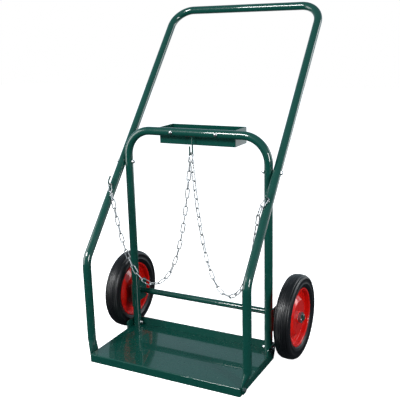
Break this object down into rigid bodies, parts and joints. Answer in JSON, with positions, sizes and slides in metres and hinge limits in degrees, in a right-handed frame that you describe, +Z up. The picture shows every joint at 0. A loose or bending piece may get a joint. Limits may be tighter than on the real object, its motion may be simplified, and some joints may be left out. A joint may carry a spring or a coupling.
{
  "type": "oxy acetylene torch cart",
  "caption": "Two-wheeled welding cylinder cart: bent green tubes on a folded base pan, rear tray, hanging safety chains, red wheels.",
  "frame": {"origin": "on the floor, midway between the two rear upright tubes and in the plane of their axes", "axes": "+X to the right as seen from the front (the base plate's side), +Y backwards towards the handle, +Z up"},
  "size_m": [0.648, 0.6347, 1.036],
  "materials": {
    "green_paint": "gloss",
    "red_paint": "gloss",
    "tyre_rubber": "satin",
    "zinc_steel": "satin",
    "bush_plastic": "matte"
  },
  "bodies": {
    "cart": {"upright_frame": "green_paint", "base_pan": "green_paint", "handle_tube": "green_paint", "front_leg_left": "green_paint", "front_leg_right": "green_paint", "tool_tray": "green_paint", "tray_screws": "zinc_steel", "tray_nuts": "zinc_steel", "center_hook": "green_paint", "side_hook_left": "green_paint", "side_hook_right": "green_paint", "handle_bolts": "zinc_steel", "handle_nuts": "zinc_steel", "foot_bolts": "zinc_steel", "foot_nuts": "zinc_steel", "leg_bolts": "zinc_steel", "leg_nuts": "zinc_steel", "wheel_bracket_left": "green_paint", "wheel_bracket_right": "green_paint", "axle": "green_paint", "wheel_washers": "zinc_steel", "split_pins": "zinc_steel"},
    "wheel_left": {"tyre_left": "tyre_rubber", "rim_outer_left": "red_paint", "rim_inner_left": "red_paint", "hub_left": "zinc_steel", "hub_bushes_left": "bush_plastic"},
    "wheel_right": {"tyre_right": "tyre_rubber", "rim_outer_right": "red_paint", "rim_inner_right": "red_paint", "hub_right": "zinc_steel", "hub_bushes_right": "bush_plastic"},
    "chain_left": {"chain_left": "zinc_steel"},
    "chain_right": {"chain_right": "zinc_steel"}
  },
  "joints": [
    {"name": "wheel_left_spin", "type": "hinge", "parent": "cart", "child": "wheel_left", "pos_m": [-0.2828, 0.05, 0.127], "axis": [1, 0, 0], "continuous": true},
    {"name": "wheel_right_spin", "type": "hinge", "parent": "cart", "child": "wheel_right", "pos_m": [0.2952, 0.05, 0.127], "axis": [1, 0, 0], "continuous": true},
    {"name": "chain_left_swing", "type": "hinge", "parent": "cart", "child": "chain_left", "pos_m": [-0.2564, -0.07527, 0.51132], "axis": [-0.9028, -0.2505, -0.3496], "range_deg": [0, 20]},
    {"name": "chain_right_swing", "type": "hinge", "parent": "cart", "child": "chain_right", "pos_m": [0.2564, -0.07527, 0.51132], "axis": [-0.9177, 0.2153, 0.3338], "range_deg": [0, 20]}
  ],
  "couplings": [
    {"joint": "chain_right_swing", "follows": "chain_left_swing", "ratio": 1}
  ]
}
